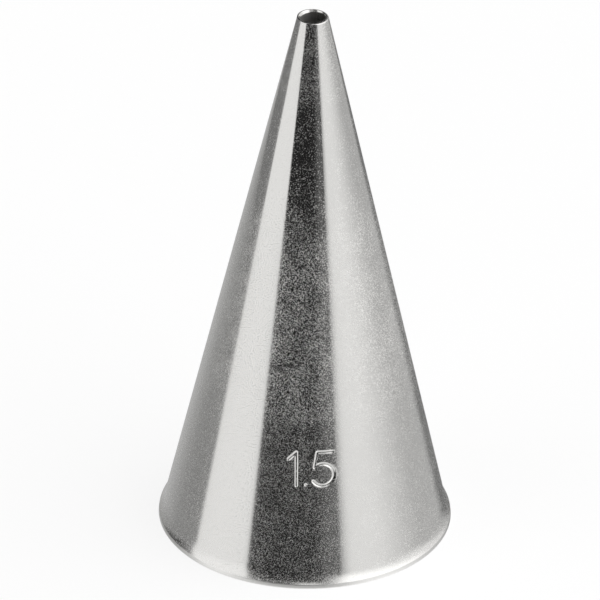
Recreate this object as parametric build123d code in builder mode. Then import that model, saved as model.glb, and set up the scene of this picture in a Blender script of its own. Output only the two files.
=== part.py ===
"""Piping nozzle: a small plain round icing tube, pressed from one piece of stainless steel sheet.

It stands on its base, with the outlet up. The wall is a straight cone of even thickness.
Near the base it sweeps out into a narrow lip, which is trimmed to an upright edge and a flat
foot. At the top the cone is cut square, and its outlet is reamed to size and countersunk, which
leaves a short round land and a thin ring of metal about its mouth. Every edge that a hand or a bag
touches is broken.

Origin: centre of the base plane. +Z: along the nozzle's axis, towards the outlet.
"""

from build123d import *
import os
from math import atan2, cos, degrees, sin, sqrt, tan

# Driving dimensions, in millimetres
height = 34.2  # base plane to outlet face
cone_base_diameter = 17.2  # outside of the straight cone, carried down to the base plane
orifice_diameter = 1.5  # reamed bore of the outlet
outlet_wall = 0.175  # metal round the bore, out to the cone, at the outlet face
mouth_width = 0.075  # how far the countersink takes the bore's mouth out
mouth_angle = 60.0  # full angle of the countersink, in degrees
sheet = 0.35  # thickness of the sheet

# The lip round the base
lip_flare = 0.15  # how far its edge stands out beyond the straight cone
lip_rise = 1.25  # height at which the wall starts to sweep out
lip_edge = 0.24  # height of the upright trimmed edge

# Broken edges
outlet_break = 0.09
lip_top_break = 0.12
foot_break = 0.05

# How far a cut runs on past what it cuts
overrun = 0.5

# Sizes that follow from these
cone_base_radius = cone_base_diameter / 2
orifice_radius = orifice_diameter / 2
outlet_radius = orifice_radius + outlet_wall
lip_radius = cone_base_radius + lip_flare
half_angle = atan2(cone_base_radius - outlet_radius, height)
outward = Vector(cos(half_angle), sin(half_angle))  # square to the straight wall, as (radius, height)

# The wall sweeps out on an arc that is tangent to the cone and ends on top of the lip's edge.
# The inside of the sheet follows it on an arc about the same centre, down to the base plane.
sweep_start = Vector(cone_base_radius - lip_rise * tan(half_angle), lip_rise)
lip_top = Vector(lip_radius, lip_edge)
chord = lip_top - sweep_start
sweep_radius = chord.dot(chord) / (2 * chord.dot(outward))
sweep_centre = sweep_start + outward * sweep_radius
inner_sweep_radius = sweep_radius + sheet
inner_sweep_start = sweep_start - outward * sheet
foot_inner_radius = sweep_centre.X - sqrt(inner_sweep_radius**2 - sweep_centre.Y**2)

# The inside of the cone meets the outlet plane inside the bore, so the reamer cuts a land there.
inner_outlet_radius = outlet_radius - sheet / cos(half_angle)
land_length = (orifice_radius - inner_outlet_radius) / tan(half_angle)


with BuildPart() as nozzle:
    # Half section of the pressed sheet, turned about the axis
    with BuildSketch(Plane.XZ):
        with BuildLine():
            Line((outlet_radius, height), sweep_start)
            RadiusArc(sweep_start, lip_top, sweep_radius)
            Polyline(lip_top, (lip_radius, 0), (foot_inner_radius, 0))
            RadiusArc((foot_inner_radius, 0), inner_sweep_start, -inner_sweep_radius)
            Polyline(inner_sweep_start, (inner_outlet_radius, height), (outlet_radius, height))
        make_face()
    revolve(axis=Axis.Z)

    # Ream the outlet, until the inside of the cone is wider than the reamer, and countersink its mouth
    with Locations((0, 0, height)):
        CounterSinkHole(
            radius=orifice_radius,
            counter_sink_radius=orifice_radius + mouth_width,
            depth=land_length + overrun,
            counter_sink_angle=mouth_angle,
        )

    # Break the edges of the outlet, the foot and the top of the lip
    mouth_edges = nozzle.faces().sort_by(Axis.Z)[-1].edges()
    fillet(mouth_edges.sort_by(SortBy.RADIUS)[-1], radius=outlet_break)
    fillet(nozzle.faces().sort_by(Axis.Z)[0].edges(), radius=foot_break)
    lip_edges = nozzle.edges().filter_by(GeomType.CIRCLE).group_by(SortBy.RADIUS)[-1]
    fillet(lip_edges.sort_by(Axis.Z)[-1], radius=lip_top_break)

nozzle.part.label = "nozzle"
os.makedirs("parts", exist_ok=True)
export_step(nozzle.part, "parts/nozzle.step")

print("half angle, degrees:", round(degrees(half_angle), 2))
print("lip diameter:", round(2 * lip_radius, 2), "sweep radius:", round(sweep_radius, 2))
print("reamed land:", round(land_length, 2), "foot inner radius:", round(foot_inner_radius, 3))
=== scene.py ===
"""Piping nozzle: a small plain round icing tube of stainless steel, standing on its base.

The steel is one closed skin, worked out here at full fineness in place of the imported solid: the
cone, its flared lip, the trimmed edge and the foot, the inside of the sheet and the reamed outlet,
with a plain size number pressed into the front. Round it stand the white table, the room that the
steel shows, a soft lamp and the photograph's camera. All lengths are in metres.
"""

from math import atan2, cos, pi, radians, sin, sqrt, tan

import bpy
import numpy as np
from mathutils import Matrix, Vector


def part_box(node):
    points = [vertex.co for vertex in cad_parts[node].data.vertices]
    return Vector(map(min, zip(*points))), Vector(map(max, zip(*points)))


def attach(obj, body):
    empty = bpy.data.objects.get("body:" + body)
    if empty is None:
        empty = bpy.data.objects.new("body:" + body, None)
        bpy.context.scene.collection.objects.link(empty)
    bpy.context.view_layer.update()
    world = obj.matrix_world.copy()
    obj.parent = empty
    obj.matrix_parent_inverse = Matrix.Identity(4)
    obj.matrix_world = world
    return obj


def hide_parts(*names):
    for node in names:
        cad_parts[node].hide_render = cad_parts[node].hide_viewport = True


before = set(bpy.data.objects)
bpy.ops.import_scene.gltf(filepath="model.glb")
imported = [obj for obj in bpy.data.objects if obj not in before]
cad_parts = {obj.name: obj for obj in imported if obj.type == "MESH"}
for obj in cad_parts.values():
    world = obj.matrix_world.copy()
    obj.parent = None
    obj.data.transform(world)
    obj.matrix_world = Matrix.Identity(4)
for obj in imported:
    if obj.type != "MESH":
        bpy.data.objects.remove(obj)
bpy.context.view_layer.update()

MM = 0.001

# Sizes of the nozzle. The solid's are the same but for a few: here the lip's sweep starts 0.2 mm lower
# and its edge leans in a little towards its top, and the outlet's finish is finer and uneven.
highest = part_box("nozzle")[1]
height = highest.z
lip_radius = highest.x
lip_flare = 0.15 * MM
lip_rise = 1.05 * MM
lip_edge = 0.24 * MM
lip_lean = 0.035 * MM
orifice_radius = 0.75 * MM
outlet_wall = 0.175 * MM
mouth_width = 0.054 * MM
mouth_half_angle = radians(30)
sheet = 0.35 * MM
outlet_break = 0.085 * MM
lip_top_break = 0.12 * MM
foot_break = 0.05 * MM
mouth_break = 0.015 * MM

# How uneven the hand-finished outlet is: the countersink is wider towards one side, and the outer
# edge is rounder towards another, by this much, at this turn from the front
mouth_drift = 0.045 * MM
mouth_towards = radians(-120)
break_drift = 0.075 * MM
break_towards = radians(106)

# Sizes that follow from these
cone_base_radius = lip_radius - lip_flare
outlet_radius = orifice_radius + outlet_wall
half_angle = atan2(cone_base_radius - outlet_radius, height)
outward = np.array((cos(half_angle), sin(half_angle)))

# The pressed number: its height, half its width as a share of that, where its middle stands, how far
# round it the skin is fine, and the groove of its strokes
number_height = 2.1 * MM
number_half_width_share = 0.7
number_middle = 7.25 * MM
number_reach = 0.3 * MM
groove_half_width = 0.11 * MM
groove_depth = 0.05 * MM
burr_height = 0.008 * MM
burr_width = 0.04 * MM
relief_height = 0.018 * MM
relief_spread = 0.16 * MM

# How fine the skin is, and how close to an edge its next points may stand
fine_step = 0.036 * MM
coarse_step = 1.0 * MM
fine_turn = radians(0.32)
coarse_turn = radians(1.8)
grading_samples = 4000
sweep_steps = 16
break_steps = 5
land_steps = 10
ring_steps = 4
bowl_steps = 24
edge_clearance = 0.02 * MM
wall_start = 0.13 * MM

# The photograph's view: where the camera stands round the nozzle, and what its frame spans there
camera_azimuth = radians(-2.8)
camera_elevation = radians(31.03)
camera_roll = radians(0.92)
camera_distance = 0.898
frame_width = 35.57 * MM
sensor_width = 36.0
middle_right_of_centre = 0.52 * MM
middle_above_centre = 1.995 * MM
farthest_seen = 10.0


# The shape of the sheet

def straight(start, end, steps):
    """Points from start to end in equal steps: start + share of the way x (end - start)."""
    share = np.linspace(0.0, 1.0, steps + 1)[:, None]
    return np.asarray(start) + share * (np.asarray(end) - np.asarray(start))


def arc(centre, radius, start_angle, end_angle, steps):
    """Points on a circle's arc: centre + radius x (cos angle, sin angle), the angle in equal steps."""
    angle = np.linspace(start_angle, end_angle, steps + 1)
    return np.asarray(centre) + radius * np.stack((np.cos(angle), np.sin(angle)), 1)


def broken_edge(before, corner, after, radius):
    """A rounded corner, as a quadratic curve from the side before it to the side after it.

    It is (1-t)^2 A + 2t(1-t) corner + t^2 B, where A and B lie on the two sides, as far from the
    corner as a rounding of that radius starts: radius x tan(half the turn)."""
    before, corner, after = (np.asarray(point, float) for point in (before, corner, after))
    back = (before - corner) / np.linalg.norm(before - corner)
    onward = (after - corner) / np.linalg.norm(after - corner)
    turn = np.arccos(np.clip(-back @ onward, -1.0, 1.0))
    reach = radius * tan(turn / 2)
    t = np.linspace(0.0, 1.0, break_steps + 1)[:, None]
    start, end = corner + back * reach, corner + onward * reach
    return (1 - t) ** 2 * start + 2 * t * (1 - t) * corner + t ** 2 * end


def graded(start, end, step_at):
    """Places from start to end, apart by about step_at(place).

    The count of steps up to a place is the integral of 1 / step_at, and the places are where that
    count is whole, after it is stretched to end on a whole number."""
    place = np.linspace(start, end, grading_samples)
    density = 1.0 / step_at(place)
    gap = abs(end - start) / (grading_samples - 1)
    count = np.concatenate(([0.0], np.cumsum((density[1:] + density[:-1]) / 2 * gap)))
    steps = int(np.ceil(count[-1]))
    return np.interp(np.linspace(0.0, count[-1], steps + 1), count, place)


def eased(value, low, high):
    """0 below low, 1 above high, and 3t^2 - 2t^3 between them."""
    t = np.clip((value - low) / (high - low), 0.0, 1.0)
    return t * t * (3 - 2 * t)


def step_up_the_wall(z):
    """The spacing of the skin's rings: fine behind the number, coarse on the plain cone."""
    away = np.abs(z - number_middle) - number_height / 2 - number_reach
    return fine_step + (coarse_step - fine_step) * eased(away, 0.0, number_height)


def down_the_wall(top, bottom):
    """Points down a straight wall from top to bottom, as close as the number needs them."""
    top, bottom = np.asarray(top), np.asarray(bottom)
    z = graded(top[1], bottom[1], step_up_the_wall)
    return top + ((z - top[1]) / (bottom[1] - top[1]))[:, None] * (bottom - top)


def section(mouth, rounding):
    """The outline of the cut sheet once round, in stretches of (place, finish, points).

    It is for a countersink of the width mouth and an outer edge of the outlet with this rounding.

    A point is (radius, height). The outline runs down the outside, out along the sweep of the lip, down
    the lip's edge, in along the foot, up the inside, and through the bore and its countersunk mouth to
    the outlet's face. The two sweeps are arcs about one centre."""
    sweep_start = np.array((cone_base_radius - lip_rise * tan(half_angle), lip_rise))
    lip_top = np.array((lip_radius - lip_lean, lip_edge))
    chord = lip_top - sweep_start
    sweep_radius = chord @ chord / (2 * chord @ outward)
    centre = sweep_start + outward * sweep_radius
    inner_sweep_radius = sweep_radius + sheet
    inner_sweep_start = sweep_start - outward * sheet
    foot_inner = np.array((centre[0] - sqrt(inner_sweep_radius ** 2 - centre[1] ** 2), 0.0))
    land = (orifice_radius - outlet_radius + sheet / cos(half_angle)) / tan(half_angle)
    foot_outer = np.array((lip_radius, 0.0))
    face_outer = np.array((outlet_radius, height))
    mouth_top = np.array((orifice_radius + mouth, height))
    mouth_foot = np.array((orifice_radius, height - mouth / tan(mouth_half_angle)))
    bore_foot = np.array((orifice_radius, height - land))

    def angle_of(point):
        """The angle of a point of the sheet, seen from the sweep's centre, which lies outside it."""
        return pi + atan2(centre[1] - point[1], centre[0] - point[0])

    sweep = arc(centre, sweep_radius, pi + half_angle, angle_of(lip_top), sweep_steps)
    inner_sweep = arc(centre, inner_sweep_radius, angle_of(foot_inner), pi + half_angle, sweep_steps)
    face_round = broken_edge(mouth_top, face_outer, sweep_start, rounding)
    lip_round = broken_edge(sweep[-2], lip_top, foot_outer, lip_top_break)
    foot_round = broken_edge(lip_top, foot_outer, foot_inner, foot_break)
    inner_round = broken_edge(foot_outer, foot_inner, inner_sweep[1], foot_break)
    mouth_foot_round = broken_edge(bore_foot, mouth_foot, mouth_top, mouth_break)
    mouth_top_round = broken_edge(mouth_foot, mouth_top, face_outer, mouth_break)
    down = (sweep_start - face_outer) / np.linalg.norm(sweep_start - face_outer)
    wall_top = face_outer + down * wall_start
    inner_wall_top = bore_foot + down * edge_clearance
    return [
        ("outlet_edge", "tumbled", face_round),
        ("wall", "tumbled", down_the_wall(wall_top, sweep_start)[:-1]),
        ("flare", "tumbled", sweep[sweep[:, 1] > lip_round[0, 1] + edge_clearance]),
        ("lip", "trimmed", lip_round),
        ("lip", "trimmed", straight(lip_round[-1], foot_round[0], ring_steps)[1:-1]),
        ("foot", "trimmed", foot_round),
        ("foot", "trimmed", straight(foot_round[-1], inner_round[0], ring_steps)[1:-1]),
        ("foot", "trimmed", inner_round),
        ("inner_flare", "drawn", inner_sweep[inner_sweep[:, 1] > inner_round[-1, 1] + edge_clearance]),
        ("inner_wall", "drawn", down_the_wall(inner_wall_top, inner_sweep_start)[::-1][1:]),
        ("bore", "reamed", straight(bore_foot, mouth_foot_round[0], land_steps)[:-1]),
        ("mouth", "tumbled", mouth_foot_round),
        ("mouth", "tumbled", straight(mouth_foot_round[-1], mouth_top_round[0], ring_steps)[1:-1]),
        ("mouth", "tumbled", mouth_top_round),
        ("outlet_face", "tumbled", straight(mouth_top_round[-1], face_round[0], ring_steps)[1:-1]),
    ]


def number_strokes():
    """The strokes of the number 1.5, each a run of points, in shares of its height from its lower left."""
    one_share = ((0.0, 0.77), (0.23, 1.0), (0.23, 0.0))
    point_share = ((0.5, 0.035), (0.5, 0.035))
    bowl_centre_share, bowl_radius_share = (0.98, 0.325), 0.325
    bowl_from, bowl_to = radians(136), radians(-146)
    bowl = arc(bowl_centre_share, bowl_radius_share, bowl_from, bowl_to, bowl_steps)
    five_share = np.concatenate((((1.24, 1.0), (0.82, 1.0)), bowl))
    return [np.array(one_share), np.array(point_share), five_share]


def distance_to_number(across, up):
    """How far each place of the unrolled wall is from the middle line of the nearest stroke.

    A place's distance to one straight bit of a stroke is that to its nearest point, at the share of
    the bit where the place falls square on it, kept between its two ends."""
    strokes = number_strokes()
    least_run_squared = 1e-9
    left = min(stroke[:, 0].min() for stroke in strokes)
    right = max(stroke[:, 0].max() for stroke in strokes)
    x = across / number_height + (left + right) / 2
    y = up / number_height + 0.5
    nearest = np.full(x.shape, np.inf)
    for stroke in strokes:
        for start, end in zip(stroke[:-1], stroke[1:]):
            run = end - start
            x_on, y_on = x - start[0], y - start[1]
            share = np.clip((x_on * run[0] + y_on * run[1]) / max(run @ run, least_run_squared), 0.0, 1.0)
            nearest = np.minimum(nearest, np.hypot(x_on - share * run[0], y_on - share * run[1]))
    return nearest * number_height


def pressed_in(distance):
    """How deep the number's groove is at a distance from its middle line.

    A round-bottomed groove, depth x (1 - (distance / half width)^2), with the metal that it pushed
    aside as a low burr, height x exp(-((distance - half width) / burr width)^2)."""
    groove = groove_depth * np.clip(1 - (distance / groove_half_width) ** 2, 0.0, None)
    burr = burr_height * np.exp(-((distance - groove_half_width) / burr_width) ** 2)
    return groove - burr


def pushed_through(distance):
    """How far the number stands out on the inside: height x exp(-(distance / spread)^2)."""
    return relief_height * np.exp(-(distance / relief_spread) ** 2)


def nozzle_skin():
    """The nozzle as one closed mesh: the section turned about the axis.

    A point is (radius sin turn, -radius cos turn, height), the turn counted from the front. The outlet's
    countersink and its outer edge each grow by drift x cos(turn - the turn that they grow towards).
    Behind the number the outside is pressed in square to the wall, and the inside stands out a little."""
    stretches = section(mouth_width, outlet_break)
    finishes = sorted({finish for _, finish, _ in stretches})

    def points_of(found):
        """All the points of a section's stretches, in order."""
        return np.concatenate([run for _, _, run in found])

    points = points_of(stretches)
    mouth_growth = points_of(section(mouth_width + mouth_drift, outlet_break)) - points
    edge_growth = points_of(section(mouth_width, outlet_break + break_drift)) - points
    finish_of = np.concatenate([np.full(len(run), finishes.index(name)) for _, name, run in stretches])
    place_of = np.concatenate([np.full(len(run), name) for name, _, run in stretches])

    half_number = number_height * number_half_width_share + number_reach
    fine_half_turn = half_number / (cone_base_radius - number_middle * tan(half_angle))

    def step_round_the_wall(turn):
        """The spacing of the skin's columns: fine behind the number, coarse elsewhere."""
        away = np.abs(turn) - fine_half_turn
        return fine_turn + (coarse_turn - fine_turn) * eased(away, 0.0, fine_half_turn)

    turn = graded(-pi, pi, step_round_the_wall)[:-1]
    mouth_share = np.cos(turn - mouth_towards)
    edge_share = np.cos(turn - break_towards)
    radius = points[:, :1] + mouth_growth[:, :1] * mouth_share + edge_growth[:, :1] * edge_share
    level = points[:, 1:] + mouth_growth[:, 1:] * mouth_share + edge_growth[:, 1:] * edge_share
    distance = distance_to_number(radius * turn, (level - number_middle) / cos(half_angle))
    outside = (place_of == "wall")[:, None]
    inside = (place_of == "inner_wall")[:, None]
    moved = np.where(outside, pressed_in(distance), np.where(inside, pushed_through(distance), 0.0))
    radius = radius - moved * outward[0]
    level = level - moved * outward[1]
    places = np.stack((radius * np.sin(turn), -radius * np.cos(turn), level), 2).reshape(-1, 3)

    rings, columns = len(points), len(turn)
    here = np.arange(rings * columns).reshape(rings, columns)
    below = np.roll(here, -1, 0)
    corners = np.stack((here, below, np.roll(below, -1, 1), np.roll(here, -1, 1)), 2).reshape(-1, 4)

    mesh = bpy.data.meshes.new("nozzle_skin")
    mesh.from_pydata(places.tolist(), [], corners.tolist())
    mesh.polygons.foreach_set("use_smooth", np.ones(len(corners), bool))
    mesh.polygons.foreach_set("material_index", np.repeat(finish_of, columns).astype(np.int32))
    mesh.update()
    skin = bpy.data.objects.new("nozzle_skin", mesh)
    bpy.context.scene.collection.objects.link(skin)
    for finish in finishes:
        mesh.materials.append(steel_finishes[finish](finish + "_steel"))
    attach(skin, "root")
    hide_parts("nozzle")
    return skin


# Shader nodes

def feed(tree, socket, value):
    """Puts a value, or another node's output, on one input."""
    if isinstance(value, bpy.types.NodeSocket):
        tree.links.new(value, socket)
    else:
        socket.default_value = value


def connect(tree, node, inputs):
    """Puts a value, or another node's output, on each of a node's named inputs."""
    for name, value in inputs.items():
        feed(tree, node.inputs[name], value)


def put(tree, kind, inputs=None, **settings):
    """A new node with its settings, and with a value or another node's output on its named inputs."""
    made = tree.nodes.new(kind)
    for name, value in settings.items():
        setattr(made, name, value)
    connect(tree, made, inputs or {})
    return made


def calculate(tree, operation, *values):
    """The output of a Math node that works on these values."""
    node = put(tree, "ShaderNodeMath", operation=operation)
    for socket, value in zip(node.inputs, values):
        feed(tree, socket, value)
    return node.outputs[0]


def mix(tree, share, start, end):
    """start where the share is 0, end where it is 1, and between them in proportion."""
    return put(tree, "ShaderNodeMix", {"Factor": share, "A": start, "B": end}).outputs["Result"]


def ramp(tree, value, low, high, at_low=0.0, at_high=1.0):
    """A smooth change from at_low to at_high, as the value goes from low to high."""
    return put(tree, "ShaderNodeMapRange", {
        "Value": value, "From Min": low, "From Max": high, "To Min": at_low, "To Max": at_high,
    }, interpolation_type="SMOOTHSTEP").outputs["Result"]


def new_group(name, inputs, outputs):
    """A shader node group with these named number sockets, its tree and its two end nodes."""
    tree = bpy.data.node_groups.new(name, "ShaderNodeTree")
    for socket_name, default in inputs.items():
        socket = tree.interface.new_socket(socket_name, in_out="INPUT", socket_type="NodeSocketFloat")
        socket.default_value = default
    for socket_name in outputs:
        tree.interface.new_socket(socket_name, in_out="OUTPUT", socket_type="NodeSocketFloat")
    return tree, tree.nodes.new("NodeGroupInput"), tree.nodes.new("NodeGroupOutput")


white = (1.0, 1.0, 1.0, 1.0)

# How bright the room's white walls are
white_walls = 1.04

# The room that the steel shows: screens and gaps before its white walls, one set before another in
# this order. Each has a middle azimuth and a half width, a lowest and a highest elevation, the softness
# of its upright and of its level edges, all in degrees, and a brightness. Azimuth 0 is the camera's side.
room_screens = {
    "right_wall": (62.0, 36.0, -90.0, 90.0, 6.0, 5.0, 0.98),
    "right_wall_in_shade": (146.0, 65.0, -90.0, 90.0, 31.0, 5.0, 0.54),
    "floor_in_front": (-10.0, 100.0, -90.0, -22.0, 10.0, 4.0, 0.9),
    "lit_floor_right": (68.0, 34.0, -90.0, -26.0, 10.0, 4.0, 1.45),
    "grey_wall_left": (-136.0, 43.5, -90.0, 90.0, 1.5, 5.0, 0.29),
    "paler_wall_behind": (-180.0, 46.0, -90.0, 90.0, 25.0, 5.0, 0.50),
    "lit_floor_left": (-128.0, 34.0, -90.0, -31.0, 8.0, 3.0, 0.75),
    "door_right": (163.0, 20.0, -38.0, -12.0, 8.0, 4.0, 0.19),
    "camera_gap": (-7.8, 36.4, -16.0, 30.0, 1.0, 6.0, 0.02),
    "stand_in_the_gap": (22.0, 8.0, -22.0, 54.0, 8.0, 8.0, 0.13),
    "window_left": (-68.0, 24.0, 2.0, 70.0, 4.0, 8.0, 1.18),
    "dark_above_the_camera": (-25.0, 19.0, 28.0, 84.0, 8.0, 6.0, 0.08),
    "dark_shelf_left": (-129.0, 28.0, 0.0, 38.0, 8.0, 5.0, 0.04),
    "dark_ceiling_behind": (-165.0, 45.0, 16.0, 72.0, 12.0, 8.0, 0.03),
    "window_far_right": (103.0, 30.0, -3.0, 50.0, 10.0, 7.0, 0.92),
    "window_right": (67.0, 41.0, 13.0, 64.0, 14.0, 10.0, 1.6),
}


def screen_group():
    """One screen before what is behind it: its own brightness within its edges, and theirs beyond."""
    names = {"Behind": 1.0, "Azimuth": 0.0, "Elevation": 0.0, "Middle": 0.0, "Half width": 30.0,
             "Low": -90.0, "High": 90.0, "Upright softness": 5.0, "Level softness": 5.0, "Brightness": 1.0}
    tree, given, result = new_group("screen", names, ["Brightness"])
    take = given.outputs

    def under(value, edge, softness):
        """1 where the value is under the edge, and 0 above it, across twice the softness."""
        return ramp(tree, calculate(tree, "SUBTRACT", value, edge), softness,
                    calculate(tree, "MULTIPLY", softness, -1.0))

    off_middle = calculate(tree, "SUBTRACT", take["Azimuth"], take["Middle"])
    aside = calculate(tree, "ABSOLUTE", calculate(tree, "WRAP", off_middle, 180.0, -180.0))
    across = under(aside, take["Half width"], take["Upright softness"])
    above_low = under(take["Low"], take["Elevation"], take["Level softness"])
    below_high = under(take["Elevation"], take["High"], take["Level softness"])
    mask = calculate(tree, "MULTIPLY", across, calculate(tree, "MULTIPLY", above_low, below_high))
    step = calculate(tree, "SUBTRACT", take["Brightness"], take["Behind"])
    shown = calculate(tree, "MULTIPLY_ADD", mask, step, take["Behind"])
    tree.links.new(shown, result.inputs["Brightness"])
    return tree


def make_room():
    """The world: white to the camera, and to all else a white room with screens and gaps round it."""
    world = bpy.data.worlds.new("studio")
    bpy.context.scene.world = world
    world.use_nodes = True
    tree = world.node_tree
    tree.nodes.clear()
    direction = put(tree, "ShaderNodeVectorRotate", {
        "Vector": put(tree, "ShaderNodeTexCoord").outputs["Generated"],
        "Axis": (0.0, 0.0, 1.0), "Angle": -camera_azimuth,
    }).outputs["Vector"]
    part = put(tree, "ShaderNodeSeparateXYZ", {"Vector": direction}).outputs
    towards_camera = calculate(tree, "MULTIPLY", part["Y"], -1.0)
    azimuth = calculate(tree, "DEGREES", calculate(tree, "ARCTAN2", part["X"], towards_camera))
    elevation = calculate(tree, "DEGREES", calculate(tree, "ARCSINE", part["Z"]))
    screen = screen_group()
    brightness = white_walls
    for name, (middle, half_width, low, high, upright, level, shown) in room_screens.items():
        node = put(tree, "ShaderNodeGroup", node_tree=screen, label=name)
        connect(tree, node, {
            "Behind": brightness, "Azimuth": azimuth, "Elevation": elevation, "Middle": middle,
            "Half width": half_width, "Low": low, "High": high, "Upright softness": upright,
            "Level softness": level, "Brightness": shown})
        brightness = node.outputs["Brightness"]
    seen = put(tree, "ShaderNodeLightPath").outputs["Is Camera Ray"]
    strength = mix(tree, seen, brightness, 1.0)
    background = put(tree, "ShaderNodeBackground", {"Color": white, "Strength": strength})
    output = tree.nodes.new("ShaderNodeOutputWorld")
    tree.links.new(background.outputs["Background"], output.inputs["Surface"])
    return world


# How much of the table top the camera sees as plain white paper, without a shadow on it
paper_share = 0.75

# The table top: how far it goes from the middle on each side, its colour, and how far above it the
# pieces of table lie that the steel shows
table_half_width = 1.5
table_colour = (0.9, 0.9, 0.9, 1.0)
table_clearance = 0.001 * MM


def make_floor():
    """A wide white table top under the nozzle, which the steel does not show."""
    half = table_half_width
    mesh = bpy.data.meshes.new("table_top")
    mesh.from_pydata([(-half, -half, 0.0), (half, -half, 0.0), (half, half, 0.0), (-half, half, 0.0)], [],
                     [(0, 1, 2, 3)])
    table = bpy.data.objects.new("table_top", mesh)
    bpy.context.scene.collection.objects.link(table)
    table.visible_glossy = False
    table.visible_shadow = False
    material = bpy.data.materials.new("white_table")
    material.use_nodes = True
    tree = material.node_tree
    shader = tree.nodes["Principled BSDF"]
    connect(tree, shader, {"Base Color": table_colour, "Roughness": 1.0})
    paper = put(tree, "ShaderNodeEmission", {"Color": white, "Strength": 1.0})
    seen = put(tree, "ShaderNodeLightPath").outputs["Is Camera Ray"]
    blend = put(tree, "ShaderNodeMixShader", {"Fac": calculate(tree, "MULTIPLY", seen, paper_share)})
    tree.links.new(shader.outputs["BSDF"], blend.inputs[1])
    tree.links.new(paper.outputs["Emission"], blend.inputs[2])
    tree.links.new(blend.outputs["Shader"], tree.nodes["Material Output"].inputs["Surface"])
    mesh.materials.append(material)
    return table


def make_floor_inside():
    """The table top within the foot, apart, because the steel's inside does show it: it is dark there."""
    steps = 48
    turn = np.linspace(0.0, 2 * pi, steps, endpoint=False)
    radius = cone_base_radius - sheet * 2
    ring = np.stack((radius * np.sin(turn), -radius * np.cos(turn), 0 * turn + table_clearance), 1)
    mesh = bpy.data.meshes.new("table_within_the_foot")
    mesh.from_pydata(ring.tolist(), [], [list(range(steps))])
    mesh.materials.append(bpy.data.materials["white_table"])
    disc = bpy.data.objects.new("table_within_the_foot", mesh)
    bpy.context.scene.collection.objects.link(disc)
    return disc


# The table farther off, as a glowing card that only the steel shows, whose glow paints its darker
# reflection: where it begins and ends, out and round from the camera's side, and how bright it glows
far_table_near = 72 * MM
far_table_far = 400 * MM
far_table_from = radians(-166)
far_table_to = radians(-97)
far_table_glow = 0.23


def make_far_table():
    """The table farther off on the left, apart, as a glowing card that only the steel's upper part shows:
    its glow is a painted reflection, darker than the room there.
    """
    steps = 12
    turn = camera_azimuth + np.linspace(far_table_from, far_table_to, steps)
    edge = np.stack((np.sin(turn), -np.cos(turn), np.zeros(steps)), 1)
    places = np.concatenate((edge * far_table_near, edge * far_table_far))
    corners = [(step, step + 1, steps + step + 1, steps + step) for step in range(steps - 1)]
    mesh = bpy.data.meshes.new("far_table")
    mesh.from_pydata(places.tolist(), [], corners)
    material = bpy.data.materials.new("far_table_painted_reflection")
    material.use_nodes = True
    tree = material.node_tree
    # Painted reflection: the card's glow, seen only in the steel, stands in for the darker table farther
    # off
    glow = put(tree, "ShaderNodeEmission", {"Color": white, "Strength": far_table_glow})
    tree.links.new(glow.outputs["Emission"], tree.nodes["Material Output"].inputs["Surface"])
    mesh.materials.append(material)
    card = bpy.data.objects.new("far_table", mesh)
    bpy.context.scene.collection.objects.link(card)
    card.location.z = table_clearance
    card.visible_camera = False
    card.visible_diffuse = False
    card.visible_shadow = False
    return card


def make_camera():
    """The photograph's camera: far away and narrow, a little rolled, aimed beside the nozzle's middle."""
    back = Vector((sin(camera_azimuth) * cos(camera_elevation),
                   -cos(camera_azimuth) * cos(camera_elevation), sin(camera_elevation)))
    level_right = Vector((0.0, 0.0, 1.0)).cross(back).normalized()
    level_up = back.cross(level_right)
    right = level_right * cos(camera_roll) + level_up * sin(camera_roll)
    up = level_up * cos(camera_roll) - level_right * sin(camera_roll)
    aim = Vector((0.0, 0.0, height / 2)) - right * middle_right_of_centre - up * middle_above_centre
    lens = bpy.data.cameras.new("camera")
    lens.sensor_width = sensor_width
    lens.lens = sensor_width * camera_distance / frame_width
    lens.clip_end = farthest_seen
    camera = bpy.data.objects.new("camera", lens)
    bpy.context.scene.collection.objects.link(camera)
    camera.matrix_world = Matrix.Translation(aim + back * camera_distance) @ Matrix(
        (right, up, back)).transposed().to_4x4()
    bpy.context.scene.camera = camera
    return camera


# The lamp: how far it stands to the right, to the rear and up, how wide it is, and its power in watts
lamp_place = (0.1, 0.1, 0.8)
lamp_width = 0.5
lamp_power = 3.0


def make_lamp():
    """A broad soft lamp, which lights the table and gives the nozzle its shadow."""
    data = bpy.data.lights.new("soft_lamp", "AREA")
    data.shape = "DISK"
    data.size = lamp_width
    data.energy = lamp_power
    lamp = bpy.data.objects.new("soft_lamp", data)
    bpy.context.scene.collection.objects.link(lamp)
    lamp.location = lamp_place
    lamp.rotation_mode = "QUATERNION"
    lamp.rotation_quaternion = (-Vector(lamp_place)).to_track_quat("-Z", "Y")
    lamp.visible_glossy = False
    return lamp


# The steel: its colour, and that of its dull pits and of metal that has been cut
steel_colour = (0.69, 0.684, 0.668, 1.0)
pit_colour = (0.9, 0.892, 0.872, 1.0)

# The grain: how big its pits, the dust in them and its patches are
grain_size = 0.07 * MM
dust_size = 0.022 * MM
patch_size = 1.1 * MM

# Where the outside's finish changes, as heights that a change begins and ends at
even_foot = (8 * MM, 12 * MM)
clean_upper_part = (20 * MM, 25 * MM)
even_top = (28.5 * MM, 30 * MM)
rubbed_lip = (0.4 * MM, 1.0 * MM)

# How high the grain's noise has to rise for a pit on the outside: below its clean upper part, in it and
# near its two ends, and how much lower that is on the rubbed lip
threshold_low_down, threshold_high_up, threshold_at_ends = 0.117, 0.204, 0.234
threshold_drop_on_lip = 0.08

# How even the outside's grain is in the same three places
evenness_low_down, evenness_high_up, evenness_at_ends = 0.9, 0.65, 1.25

# How rough the outside is between its pits, below its clean upper part and in it, and how much rougher
# it is near the top and in a pit
roughness_low_down, roughness_high_up = 0.115, 0.085
rougher_near_top = 0.03
rougher_in_pit = 0.46

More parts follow.
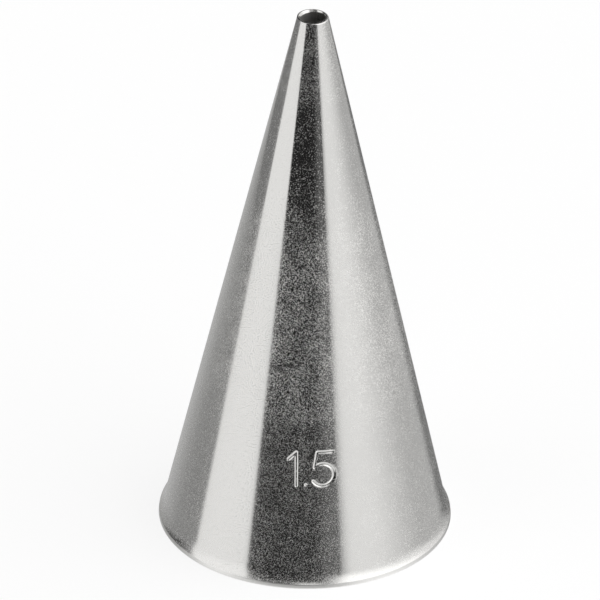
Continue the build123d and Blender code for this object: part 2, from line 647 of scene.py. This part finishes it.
# How rough the other finishes are, the bore from its left to its right, and how much their marks change it
trimmed_roughness = 0.36
drawn_roughness = 0.25
reamed_roughness = (0.54, 0.22)
rougher_in_mark = 0.3

# How pale the trimmed steel is, and the threshold and evenness of the dull spots inside
trimmed_paleness = 0.6
drawn_spots = (0.0, 0.5)

# How many tool lines each finish has in one radian round the axis and in one metre along it
tumbled_lines = (40.0, 40.0)
trimmed_lines = (160.0, 900.0)
drawn_lines = (70.0, 40.0)
reamed_lines = (4.0, 25000.0)

# How deep the marks are on the outside, on the trimmed edge and inside, and in the bore
tumbled_depth = 0.0004 * MM
drawn_depth = 0.01 * MM
reamed_depth = 0.001 * MM


def noise_about_nought(tree, place, scale, detail=0.0):
    """A noise that goes about as far above nought as below it, at these places."""
    made = put(tree, "ShaderNodeTexNoise", {"Vector": place, "Scale": scale, "Detail": detail})
    return calculate(tree, "SUBTRACT", made.outputs["Fac"], 0.5)


def group_named(name, build):
    """The shader node group of that name, built the first time that it is asked for."""
    return bpy.data.node_groups.get(name) or build(name)


def grain_group(name):
    """The grain of a tumbled surface: fine dull pits, closer together in some places than in others.

    A pit is where dust, a noise much finer than the grain, times Evenness, with the grain's noise and
    Patchiness times a slow noise added to it, rises past Threshold. It comes in over Softness on each
    side of that."""
    names = {"Threshold": 0.1, "Evenness": 0.5, "Patchiness": 0.22, "Softness": 0.06}
    tree, given, result = new_group(name, names, ["Pits"])
    take = given.outputs
    place = put(tree, "ShaderNodeTexCoord").outputs["Object"]
    dust = noise_about_nought(tree, place, 1.0 / dust_size)
    grains = noise_about_nought(tree, place, 1.0 / grain_size, detail=1.0)
    patches = noise_about_nought(tree, place, 1.0 / patch_size, detail=2.0)
    level = calculate(tree, "MULTIPLY_ADD", dust, take["Evenness"], grains)
    level = calculate(tree, "MULTIPLY_ADD", patches, take["Patchiness"], level)
    low = calculate(tree, "SUBTRACT", take["Threshold"], take["Softness"])
    high = calculate(tree, "ADD", take["Threshold"], take["Softness"])
    tree.links.new(ramp(tree, level, low, high), result.inputs["Pits"])
    return tree


def lines_group(name):
    """Fine tool lines: a noise that goes fast round the axis, along it, or both.

    Round is how many lines there are in one radian, and Up how many in a metre."""
    tree, given, result = new_group(name, {"Round": 90.0, "Up": 100.0}, ["Lines"])
    take = given.outputs
    place = put(tree, "ShaderNodeTexCoord").outputs["Object"]
    flat = put(tree, "ShaderNodeVectorMath", operation="MULTIPLY")
    feed(tree, flat.inputs[0], place)
    feed(tree, flat.inputs[1], (1.0, 1.0, 0.0))
    facing = put(tree, "ShaderNodeVectorMath", operation="NORMALIZE")
    feed(tree, facing.inputs[0], flat.outputs["Vector"])
    part = put(tree, "ShaderNodeSeparateXYZ", {"Vector": facing.outputs["Vector"]}).outputs
    level = put(tree, "ShaderNodeSeparateXYZ", {"Vector": place}).outputs["Z"]
    spread = put(tree, "ShaderNodeCombineXYZ", {
        "X": calculate(tree, "MULTIPLY", part["X"], take["Round"]),
        "Y": calculate(tree, "MULTIPLY", part["Y"], take["Round"]),
        "Z": calculate(tree, "MULTIPLY", level, take["Up"]),
    }).outputs["Vector"]
    tree.links.new(noise_about_nought(tree, spread, 1.0, detail=2.0), result.inputs["Lines"])
    return tree


def grain(tree, threshold, evenness):
    """Where the pits of the grain are, for this threshold and this evenness."""
    node = put(tree, "ShaderNodeGroup", node_tree=group_named("grain", grain_group))
    connect(tree, node, {"Threshold": threshold, "Evenness": evenness})
    return node.outputs["Pits"]


def tool_lines(tree, round_axis, up):
    """Tool lines, as a noise about nought: so many in a radian and so many in a metre."""
    node = put(tree, "ShaderNodeGroup", node_tree=group_named("lines", lines_group))
    connect(tree, node, {"Round": round_axis, "Up": up})
    return node.outputs["Lines"]


def height_of(tree):
    """How high above the table a place of the nozzle is."""
    place = put(tree, "ShaderNodeTexCoord").outputs["Object"]
    return put(tree, "ShaderNodeSeparateXYZ", {"Vector": place}).outputs["Z"]


def new_material(name):
    """A material and its node tree."""
    material = bpy.data.materials.new(name)
    material.use_nodes = True
    return material, material.node_tree


def finish_steel(tree, roughness, marks, depth, paleness=0.0):
    """Sets the steel's shine, its marks' relief of this depth, and its colour: pits' at paleness 1."""
    colour = put(tree, "ShaderNodeMix", data_type="RGBA")
    share, plain, pale = colour.inputs[0], colour.inputs[6], colour.inputs[7]
    feed(tree, share, paleness)
    feed(tree, plain, steel_colour)
    feed(tree, pale, pit_colour)
    relief = put(tree, "ShaderNodeBump", {"Height": marks, "Distance": depth, "Strength": 1.0})
    connect(tree, tree.nodes["Principled BSDF"], {
        "Base Color": colour.outputs[2], "Metallic": 1.0, "Roughness": roughness,
        "Normal": relief.outputs["Normal"]})


def tumbled_steel(name):
    """The outside: a soft shine with fine pale pits, fewest and most even near both of its ends."""
    material, tree = new_material(name)
    level = height_of(tree)
    near_foot = ramp(tree, level, *even_foot, 1.0, 0.0)
    near_top = ramp(tree, level, *even_top)
    near_an_end = calculate(tree, "ADD", near_foot, near_top)
    near_lip = ramp(tree, level, *rubbed_lip, threshold_drop_on_lip, 0.0)
    threshold = ramp(tree, level, *clean_upper_part, threshold_low_down, threshold_high_up)
    threshold = mix(tree, near_an_end, threshold, threshold_at_ends)
    evenness = ramp(tree, level, *clean_upper_part, evenness_low_down, evenness_high_up)
    evenness = mix(tree, near_an_end, evenness, evenness_at_ends)
    pits = grain(tree, calculate(tree, "SUBTRACT", threshold, near_lip), evenness)
    smooth = ramp(tree, level, *clean_upper_part, roughness_low_down, roughness_high_up)
    base = calculate(tree, "MULTIPLY_ADD", near_top, rougher_near_top, smooth)
    roughness = calculate(tree, "MULTIPLY_ADD", pits, rougher_in_pit, base)
    finish_steel(tree, roughness, tool_lines(tree, *tumbled_lines), tumbled_depth, pits)
    return material


def trimmed_steel(name):
    """The lip's edge and the foot: sheared, with fine upright lines."""
    material, tree = new_material(name)
    lines = tool_lines(tree, *trimmed_lines)
    roughness = calculate(tree, "MULTIPLY_ADD", lines, rougher_in_mark, trimmed_roughness)
    finish_steel(tree, roughness, lines, drawn_depth, trimmed_paleness)
    return material


def drawn_steel(name):
    """The inside: duller, with lines along the wall."""
    material, tree = new_material(name)
    spots = grain(tree, *drawn_spots)
    roughness = calculate(tree, "MULTIPLY_ADD", spots, rougher_in_mark, drawn_roughness)
    finish_steel(tree, roughness, tool_lines(tree, *drawn_lines), drawn_depth)
    return material


def reamed_steel(name):
    """The bore: fine rings from the reamer, which cut more cleanly on the right."""
    material, tree = new_material(name)
    rings = tool_lines(tree, *reamed_lines)
    place = put(tree, "ShaderNodeTexCoord").outputs["Object"]
    across = put(tree, "ShaderNodeSeparateXYZ", {"Vector": place}).outputs["X"]
    cut = ramp(tree, across, -orifice_radius, orifice_radius, *reamed_roughness)
    roughness = calculate(tree, "MULTIPLY_ADD", rings, rougher_in_mark, cut)
    finish_steel(tree, roughness, rings, reamed_depth)
    return material


steel_finishes = {"tumbled": tumbled_steel, "trimmed": trimmed_steel, "drawn": drawn_steel,
                  "reamed": reamed_steel}


nozzle_skin()
make_room()
make_floor()
make_floor_inside()
make_far_table()
make_lamp()
make_camera()

bpy.context.scene.view_settings.view_transform = "Standard"
